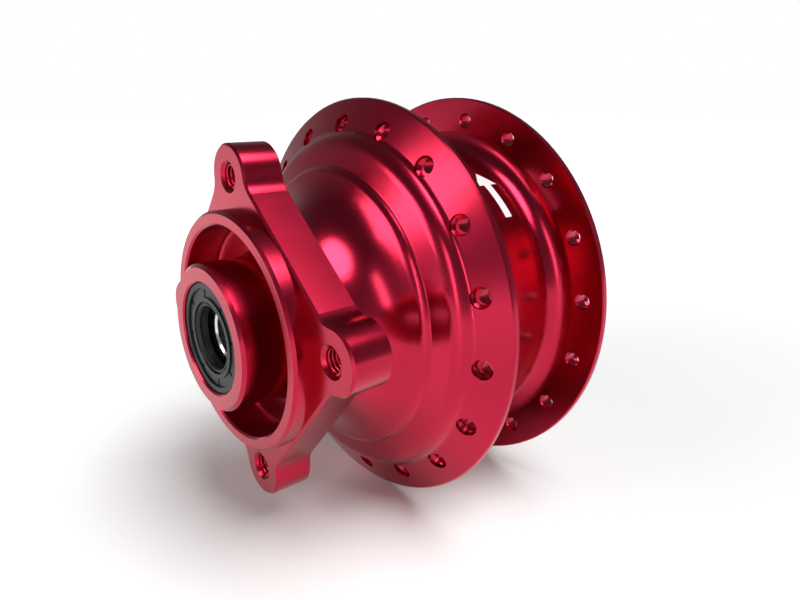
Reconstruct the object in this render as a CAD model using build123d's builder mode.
"""Small motorcycle wheel hub: one-piece machined shell, iron brake drum liner, two ball bearings,
the tube that spaces them, and a dust seal.

Origin: on the axle's axis, midway between the two spoke flanges. The axle lies along Y, with the
sprocket plate towards -Y and the brake drum towards +Y. +Z is up. Millimetres.
"""

import os
from math import radians, sqrt, tan

from build123d import *

os.makedirs("parts", exist_ok=True)

# ---- driving dimensions ----

# spoke flanges and the barrel between them
flange_radius = 70.0
flange_gap = 42.0  # between the inner faces of the two flanges
rim_width = 2.2  # width of the flange's outer edge
rim_chamfer = 0.4
flange_slope = 26.8  # degrees that the outer face leans outboard from the rim
flange_face_width = 10.7  # from the rim to the foot of the bell, or of the drum's face
flange_root_fillet = 3.0
barrel_radius = 51.0
barrel_wall = 2.5
barrel_fillet = 7.0

# spoke holes
spoke_count = 18  # on each flange
spoke_edge = 8.0  # from the rim to the hole's centre
spoke_hole_radius = 2.3
spoke_outer_sink_radius = 3.3
spoke_outer_sink_depth = 1.6  # square to the flange's sloping face
spoke_inner_sink_radius = 2.8

# bell between the drive side flange and the sprocket plate, in two shoulders
first_shoulder_radius = 57.2
first_shoulder_height = 4.0  # above the foot of the bell
first_shoulder_round = 7.0
crease_radius = 48.7
crease_height = 2.8  # above the first shoulder
crease_fillet = 0.8
second_shoulder_radius = 47.6
second_shoulder_height = 1.9  # above the crease
second_shoulder_round = 4.0
bell_slope = 25.0  # degrees that the second shoulder's top leans outboard
bell_sweep = 20.0  # radius of the hollow between the second shoulder and the neck
bell_wall = 5.0
neck_radius = 34.0
neck_length = 13.4  # with most of the sweep

# sprocket plate
plate_thickness = 13.0
plate_apothem = 38.75  # from the axle to a straight side
plate_front_chamfer = 0.7
plate_back_chamfer = 0.4
plate_turn = 4.8  # degrees that the lobes stand turned from upright
lobe_count = 4
lobe_circle_radius = 47.5
lobe_radius = 9.9
lobe_blend = 8.0
bolt_radius = 4.0
bolt_sink_radius = 4.9

# pilot ring, recess and bearing boss
ring_radius = 38.0
ring_wall = 4.4
ring_height = 5.4  # above the sprocket plate
ring_outer_chamfer = 0.9
ring_inner_chamfer = 0.6
recess_depth = 12.4
recess_fillet = 1.6
boss_wall = 5.5
boss_height = 7.4  # above the pilot ring
boss_chamfer = 1.0
bore_chamfer = 0.5

# ball bearing
bearing_bore_radius = 7.5
bearing_radius = 17.5
bearing_width = 11.0
bearing_chamfer = 0.6
ball_count = 8
ball_radius = 2.976
ball_clearance = 0.08
ring_shoulder = 2.1  # from the ball circle to each ring's inner face
cage_sheet = 0.5
cage_half_width = 1.3
cage_clearance = 0.05
rivet_radius = 0.45
rivet_head_radius = 0.8
rivet_head_height = 0.35
shield_seat = 0.8  # radial depth of the groove that holds a shield
shield_seat_depth = 1.2
shield_thickness = 0.8
shield_gap = 0.15

# dust seal
seal_width = 5.0
seal_recess = 0.8  # below the boss's face
seal_bearing_gap = 0.5
seal_rim_width = 2.1
seal_lip_radius = 9.8
seal_notch_count = 8
seal_notch_turn = 9.0
seal_notch_width = 0.9
seal_notch_depth = 0.8
spring_radius = 0.55

# core between the bearings
spacer_wall = 2.5
core_clearance = 3.0  # between the tube and the shell
tube_wall = 5.0  # around the brake side bearing
tube_lip = 1.5  # the tube stands proud of its bearing
brake_bearing_inset = 4.0  # from the middle of the hub to the bearing's middle

# brake drum
mouth_height = 2.4  # of the drum's lip
mouth_wall = 3.5
liner_wall = 3.5
liner_length = 25.0
liner_recess = 1.5
liner_chamfer = 0.6
liner_ledge = 4.5
pocket_floor_width = 5.5  # around the bearing tube
pocket_fillet = 2.5

# ---- sizes that follow: radii, and distances outboard from the middle of the hub ----

flange_rise = tan(radians(flange_slope))
bell_rise = tan(radians(bell_slope))
cut_past = 1.0  # how far a cutting shape runs past the face it cuts

flange_inner = flange_gap / 2
rim_outer = flange_inner + rim_width
spoke_circle_radius = flange_radius - spoke_edge
spoke_face = rim_outer + spoke_edge * flange_rise
spoke_sink_cone = spoke_outer_sink_radius - spoke_hole_radius
bell_foot_radius = flange_radius - flange_face_width
bell_foot = rim_outer + flange_face_width * flange_rise
first_shoulder = bell_foot + first_shoulder_height
crease = first_shoulder + crease_height
second_shoulder = crease + second_shoulder_height
neck_start = second_shoulder + (second_shoulder_radius - neck_radius) * bell_rise
sweep_end = neck_start + bell_sweep * tan(radians(45 - bell_slope / 2))

plate_back = neck_start + neck_length
plate_front = plate_back + plate_thickness
ring_top = plate_front + ring_height
ring_bore_radius = ring_radius - ring_wall
recess_floor = ring_top - recess_depth
boss_top = ring_top + boss_height
boss_radius = bearing_radius + boss_wall

seal_face = boss_top - seal_recess
drive_bearing_face = seal_face - seal_width - seal_bearing_gap
drive_bearing_middle = drive_bearing_face - bearing_width / 2
drive_bearing_seat = drive_bearing_face - bearing_width
brake_bearing_middle = brake_bearing_inset
brake_bearing_seat = brake_bearing_middle + bearing_width / 2
tube_radius = bearing_radius + tube_wall
tube_end = bearing_width / 2 - brake_bearing_inset + tube_lip
spacer_radius = bearing_bore_radius + spacer_wall
core_radius = spacer_radius + core_clearance

ball_circle_radius = (bearing_bore_radius + bearing_radius) / 2
groove_radius = ball_radius + ball_clearance
inner_ring_radius = ball_circle_radius - ring_shoulder
outer_ring_bore_radius = ball_circle_radius + ring_shoulder
shield_radius = outer_ring_bore_radius + shield_seat
shield_bore_radius = inner_ring_radius + shield_gap

drum_mouth = bell_foot + mouth_height
liner_radius = barrel_radius - barrel_wall
liner_bore_radius = liner_radius - liner_wall
liner_outboard = drum_mouth - liner_recess
liner_inboard = liner_outboard - liner_length
pocket_radius = liner_radius - liner_ledge
pocket_floor_radius = tube_radius + pocket_floor_width
# the pocket's slope lies at 45 degrees, a wall's thickness from the bell's sweep
pocket_slope_sum = neck_radius + bell_sweep + sweep_end - (bell_sweep + bell_wall) * sqrt(2)
pocket_shoulder = pocket_slope_sum - pocket_radius
pocket_floor = pocket_slope_sum - pocket_floor_radius


def drive(radius, outboard):
    """A point of a turned section, on the sprocket side."""
    return (radius, -outboard)


def brake(radius, outboard):
    """A point of a turned section, on the brake side."""
    return (radius, outboard)


def write(piece, name):
    """Label a finished piece and write its STEP file."""
    piece.label = name
    export_step(piece, f"parts/{name}.step")


# ---- hub shell: the sprocket plate, then the turned body with everything cut into it ----

with BuildPart() as sprocket_plate:
    with BuildSketch(Plane.XZ.offset(plate_back)) as plate_outline:
        Rectangle(2 * plate_apothem, 2 * plate_apothem, rotation=plate_turn + 45)
        with PolarLocations(lobe_circle_radius, lobe_count, start_angle=plate_turn):
            Circle(lobe_radius)
        blends = plate_outline.vertices().filter_by(
            lambda v: Vector(v.X, 0, v.Z).length < lobe_circle_radius
        )
        fillet(blends, lobe_blend)
    extrude(amount=plate_thickness)
    front_edges = faces().sort_by(Axis.Y)[0].outer_wire().edges()
    back_edges = faces().sort_by(Axis.Y)[-1].outer_wire().edges()
    chamfer(front_edges, plate_front_chamfer)
    chamfer(back_edges, plate_back_chamfer)
    with BuildSketch(Plane.XZ.offset(plate_back)):
        Circle(ring_radius - ring_wall / 2)
    extrude(amount=plate_thickness, mode=Mode.SUBTRACT)
    with Locations(Plane.XZ.offset(plate_front)):
        with PolarLocations(lobe_circle_radius, lobe_count, start_angle=plate_turn):
            CounterSinkHole(bolt_radius, bolt_sink_radius, depth=plate_thickness)

with BuildPart() as spoke_cutter:
    # one spoke hole, parallel to the axle, standing on its flange with Z outboard
    with BuildSketch(Plane.YZ):
        with BuildLine():
            Polyline(
                (0, flange_inner - cut_past),
                (spoke_inner_sink_radius + cut_past, flange_inner - cut_past),
                (spoke_hole_radius, flange_inner + spoke_inner_sink_radius - spoke_hole_radius),
                (spoke_hole_radius, spoke_face),
                (0, spoke_face),
                close=True,
            )
        make_face()
    revolve(axis=Axis.Z)
    # its outer sink, square to the flange's face
    with Locations(Plane(origin=(0, 0, spoke_face), z_dir=(flange_rise, 0, 1))):
        with Locations((0, 0, -spoke_outer_sink_depth)):
            Cylinder(
                spoke_outer_sink_radius,
                spoke_outer_sink_depth + spoke_outer_sink_radius,
                align=(Align.CENTER, Align.CENTER, Align.MIN),
            )
            Cone(
                spoke_hole_radius,
                spoke_outer_sink_radius,
                spoke_sink_cone,
                align=(Align.CENTER, Align.CENTER, Align.MAX),
            )

with BuildPart() as hub_shell:
    with BuildSketch(Plane.XY) as turned_section:
        with BuildLine():
            FilletPolyline(
                drive(0, boss_top),
                drive(boss_radius - boss_chamfer, boss_top),
                drive(boss_radius, boss_top - boss_chamfer),
                drive(boss_radius, ring_top),
                drive(ring_radius - ring_outer_chamfer, ring_top),
                drive(ring_radius, ring_top - ring_outer_chamfer),
                drive(ring_radius, plate_back),
                drive(neck_radius, plate_back),
                drive(neck_radius, neck_start),
                drive(second_shoulder_radius, second_shoulder),
                drive(crease_radius, crease),
                drive(first_shoulder_radius, first_shoulder),
                drive(bell_foot_radius, bell_foot),
                drive(flange_radius - rim_chamfer, rim_outer + rim_chamfer * flange_rise),
                drive(flange_radius, rim_outer - rim_chamfer),
                drive(flange_radius, flange_inner + rim_chamfer),
                drive(flange_radius - rim_chamfer, flange_inner),
                drive(barrel_radius, flange_inner),
                brake(barrel_radius, flange_inner),
                brake(flange_radius - rim_chamfer, flange_inner),
                brake(flange_radius, flange_inner + rim_chamfer),
                brake(flange_radius, rim_outer - rim_chamfer),
                brake(flange_radius - rim_chamfer, rim_outer + rim_chamfer * flange_rise),
                brake(bell_foot_radius, bell_foot),
                brake(liner_radius + mouth_wall, bell_foot),
                brake(liner_radius + mouth_wall, drum_mouth),
                brake(0, drum_mouth),
                radius=[0] * 8
                + [bell_sweep, second_shoulder_round, crease_fillet]
                + [first_shoulder_round, flange_root_fillet]
                + [0] * 4
                + [barrel_fillet] * 2
                + [0] * 8,
                close=True,
            )
        make_face()
    revolve(axis=Axis.Y)
    add(sprocket_plate.part)

    # bearing bores, and the bore between them for the spacer
    with BuildSketch(Plane.XY):
        with BuildLine():
            Polyline(
                drive(0, boss_top + cut_past),
                drive(bearing_radius + bore_chamfer + cut_past, boss_top + cut_past),
                drive(bearing_radius, boss_top - bore_chamfer),
                drive(bearing_radius, drive_bearing_seat),
                drive(core_radius, drive_bearing_seat),
                drive(core_radius, brake_bearing_seat),
                drive(bearing_radius, brake_bearing_seat),
                brake(bearing_radius, tube_end - bore_chamfer),
                brake(bearing_radius + bore_chamfer, tube_end),
                brake(0, tube_end),
                close=True,
            )
        make_face()
    revolve(axis=Axis.Y, mode=Mode.SUBTRACT)

    # recess between the boss and the pilot ring
    with BuildSketch(Plane.XY):
        with BuildLine():
            FilletPolyline(
                drive(boss_radius, ring_top + cut_past),
                drive(boss_radius, recess_floor),
                drive(ring_bore_radius, recess_floor),
                drive(ring_bore_radius, ring_top - ring_inner_chamfer),
                drive(ring_bore_radius + ring_inner_chamfer + cut_past, ring_top + cut_past),
                radius=[0, recess_fillet, recess_fillet, 0, 0],
                close=True,
            )
        make_face()
    revolve(axis=Axis.Y, mode=Mode.SUBTRACT)

    # brake drum, and the pocket behind it around the bearing tube
    with BuildSketch(Plane.XY):
        with BuildLine():
            FilletPolyline(
                brake(0, tube_end),
                brake(tube_radius - bore_chamfer, tube_end),
                brake(tube_radius, tube_end - bore_chamfer),
                drive(tube_radius, pocket_floor),
                drive(pocket_floor_radius, pocket_floor),
                drive(pocket_radius, pocket_shoulder),
                brake(pocket_radius, liner_inboard),
                brake(liner_radius, liner_inboard),
                brake(liner_radius, drum_mouth + cut_past),
                brake(0, drum_mouth + cut_past),
                radius=[0] * 3 + [pocket_fillet] * 3 + [0] * 4,
                close=True,
            )
        make_face()
    revolve(axis=Axis.Y, mode=Mode.SUBTRACT)

    # spoke holes: those of the two flanges stand half a pitch apart
    with Locations(Plane.XZ):
        with PolarLocations(
            spoke_circle_radius, spoke_count, start_angle=plate_turn + 180 / spoke_count
        ):
            add(spoke_cutter.part, mode=Mode.SUBTRACT)
    with Locations(Plane((0, 0, 0), x_dir=(1, 0, 0), z_dir=(0, 1, 0))):
        with PolarLocations(spoke_circle_radius, spoke_count, start_angle=-plate_turn):
            add(spoke_cutter.part, mode=Mode.SUBTRACT)

write(hub_shell.part, "hub_shell")

# ---- brake drum liner ----

with BuildPart() as liner:
    with BuildSketch(Plane.XY) as liner_section:
        with BuildLine():
            Polyline(
                brake(liner_bore_radius, liner_inboard),
                brake(liner_radius, liner_inboard),
                brake(liner_radius, liner_outboard),
                brake(liner_bore_radius, liner_outboard),
                close=True,
            )
        make_face()
        chamfer(liner_section.vertices().group_by(Axis.X)[0], liner_chamfer)
    revolve(axis=Axis.Y)

write(liner.part, "brake_drum_liner")

# ---- spacer tube between the inner rings ----

with BuildPart() as spacer:
    with BuildSketch(Plane.XY) as spacer_section:
        with BuildLine():
            Polyline(
                drive(bearing_bore_radius, drive_bearing_seat),
                drive(spacer_radius, drive_bearing_seat),
                drive(spacer_radius, brake_bearing_seat),
                drive(bearing_bore_radius, brake_bearing_seat),
                close=True,
            )
        make_face()
        chamfer(spacer_section.vertices(), bore_chamfer / 2)
    revolve(axis=Axis.Y)

write(spacer.part, "bearing_spacer_tube")

# ---- ball bearings: each is built about its own middle ----


def bearing_ring(middle, low_radius, high_radius, shield_depth):
    """Inner or outer ring: a turned band with the ball groove, and seats for shields if it has them."""
    with BuildPart() as ring:
        with BuildSketch(Plane((0, middle, 0))) as ring_section:
            with Locations(((low_radius + high_radius) / 2, 0)):
                Rectangle(high_radius - low_radius, bearing_width)
            fit_side = 0 if low_radius == bearing_bore_radius else -1
            chamfer(ring_section.vertices().group_by(Axis.X)[fit_side], bearing_chamfer)
            with Locations((ball_circle_radius, 0)):
                Circle(groove_radius, mode=Mode.SUBTRACT)
            if shield_depth > 0:
                for face in (-bearing_width / 2, bearing_width / 2):
                    with Locations((low_radius, face)):
                        Rectangle(2 * shield_seat, 2 * shield_depth, mode=Mode.SUBTRACT)
        revolve(axis=Axis.Y)
    return ring.part


def bearing_balls(middle):
    """The set of balls, on the ball circle."""
    with BuildPart() as balls:
        with Locations(Plane.XZ.offset(-middle)):
            with PolarLocations(ball_circle_radius, ball_count):
                Sphere(ball_radius)
    return balls.part


def cage_half(middle, side):
    """One pressed half of the cage: a flat ribbon with a cup over each ball."""
    cup_radius = ball_radius + cage_clearance
    middle_plane = Plane((0, middle, 0), x_dir=(1, 0, 0), z_dir=(0, side, 0))
    with BuildPart(middle_plane) as half:
        with BuildSketch(middle_plane):
            Circle(ball_circle_radius + cage_half_width)
        extrude(amount=cage_sheet)
        with PolarLocations(ball_circle_radius, ball_count):
            Sphere(cup_radius + cage_sheet)
        with BuildSketch(middle_plane):
            Circle(ball_circle_radius + cage_half_width)
            Circle(ball_circle_radius - cage_half_width, mode=Mode.SUBTRACT)
        extrude(amount=2 * cup_radius, mode=Mode.INTERSECT)
        with PolarLocations(ball_circle_radius, ball_count):
            Sphere(cup_radius, mode=Mode.SUBTRACT)
        with PolarLocations(ball_circle_radius, ball_count, start_angle=180 / ball_count):
            Cylinder(rivet_radius, 4 * cage_sheet, mode=Mode.SUBTRACT)
    return half.part


def cage_rivets(middle):
    """The rivets that hold the two halves of the cage together, between the balls."""
    with BuildPart() as rivets:
        with Locations(Plane.XZ.offset(-middle)):
            with PolarLocations(ball_circle_radius, ball_count, start_angle=180 / ball_count):
                Cylinder(rivet_radius, 2 * cage_sheet)
                for side in (-1, 1):
                    with Locations((0, 0, side * (cage_sheet + rivet_head_height / 2))):
                        Cylinder(rivet_head_radius, rivet_head_height)
    return rivets.part


def bearing_shield(middle, side):
    """Rubber shield in one face of the bearing, running close to the inner ring."""
    seat = middle + side * (bearing_width / 2 - shield_seat_depth)
    with BuildPart() as shield:
        with BuildSketch(Plane((0, seat, 0))) as shield_section:
            with Locations(((shield_bore_radius + shield_radius) / 2, side * shield_thickness / 2)):
                Rectangle(shield_radius - shield_bore_radius, shield_thickness)
        revolve(axis=Axis.Y)
        rims = faces().sort_by(Axis.Y)[0 if side < 0 else -1].edges()
        chamfer(rims, shield_thickness / 4)
    return shield.part


bearing_middles = {"drive_bearing": -drive_bearing_middle, "brake_bearing": -brake_bearing_middle}

for bearing, middle in bearing_middles.items():
    write(
        bearing_ring(middle, bearing_bore_radius, inner_ring_radius, 0),
        f"{bearing}_inner_ring",
    )
    write(
        bearing_ring(middle, outer_ring_bore_radius, bearing_radius, shield_seat_depth),
        f"{bearing}_outer_ring",
    )
    write(bearing_balls(middle), f"{bearing}_balls")
    write(cage_rivets(middle), f"{bearing}_cage_rivets")
    for place, side in (("drive_side", -1), ("brake_side", 1)):
        write(cage_half(middle, side), f"{bearing}_cage_{place}")
        write(bearing_shield(middle, side), f"{bearing}_shield_{place}")

# ---- dust seal in the boss: rubber body, steel case and garter spring ----

seal_radius = bearing_radius
seal_rim_radius = seal_radius - seal_rim_width
seal_collar_radius = seal_lip_radius + 2.9
seal_collar_bore_radius = seal_lip_radius + 1.6
seal_case_radius = seal_radius - 0.9
seal_case_wall = 0.7
seal_arm_radius = seal_lip_radius + 1.9
spring_depth = 3.9


def seal_point(radius, depth):
    """A point of the seal's section, at a depth below its outboard face."""
    return drive(radius, seal_face - depth)


with BuildPart() as seal_rubber:
    with BuildSketch(Plane.XY):
        with BuildLine():
            Polyline(
                seal_point(seal_radius, 0.4),
                seal_point(seal_radius - 0.4, 0),
                seal_point(seal_rim_radius + 0.2, 0),
                seal_point(seal_rim_radius, 0.2),
                seal_point(seal_rim_radius, 0.7),
                seal_point(seal_collar_radius, 0.7),
                seal_point(seal_collar_radius, 0.2),
                seal_point(seal_collar_bore_radius, 0.2),
                seal_point(seal_collar_bore_radius - 0.2, 1.0),
                seal_point(seal_lip_radius + 0.9, 1.0),
                seal_point(seal_lip_radius + 0.8, 0.6),
                seal_point(seal_lip_radius + 0.4, 0.6),
                seal_point(seal_lip_radius, 1.3),
                seal_point(seal_lip_radius + 0.6, 2.2),
                seal_point(seal_lip_radius + 0.1, spring_depth),
                seal_point(seal_lip_radius + 0.8, seal_width - 0.4),
                seal_point(seal_arm_radius, seal_width - 0.4),
                seal_point(seal_arm_radius, 2.9),
                seal_point(seal_arm_radius + 0.6, 2.0),
                seal_point(seal_case_radius, 2.0),
                seal_point(seal_case_radius, seal_width),
                seal_point(seal_radius, seal_width),
                close=True,
            )
        make_face()
    revolve(axis=Axis.Y)
    with BuildSketch(Plane.XZ.offset(seal_face - 0.7)):
        with PolarLocations(
            (seal_rim_radius + seal_collar_radius) / 2, seal_notch_count, start_angle=seal_notch_turn
        ):
            Rectangle(seal_rim_radius - seal_collar_radius, seal_notch_width)
    extrude(amount=-seal_notch_depth, mode=Mode.SUBTRACT)

write(seal_rubber.part, "dust_seal_rubber")

with BuildPart() as seal_case:
    with BuildSketch(Plane.XY):
        with BuildLine():
            Polyline(
                seal_point(seal_arm_radius + 0.6, 2.0),
                seal_point(seal_case_radius, 2.0),
                seal_point(seal_case_radius, seal_width - 0.3),
                seal_point(seal_case_radius - seal_case_wall, seal_width - 0.3),
                seal_point(seal_case_radius - seal_case_wall, 2.0 + seal_case_wall),
                seal_point(seal_arm_radius + 0.6, 2.0 + seal_case_wall),
                close=True,
            )
        make_face()
    revolve(axis=Axis.Y)

write(seal_case.part, "dust_seal_case")

with BuildPart() as seal_spring:
    with BuildSketch(Plane.XY):
        with Locations(seal_point(seal_arm_radius + spring_radius, spring_depth)):
            Circle(spring_radius)
    revolve(axis=Axis.Y)

write(seal_spring.part, "dust_seal_spring")
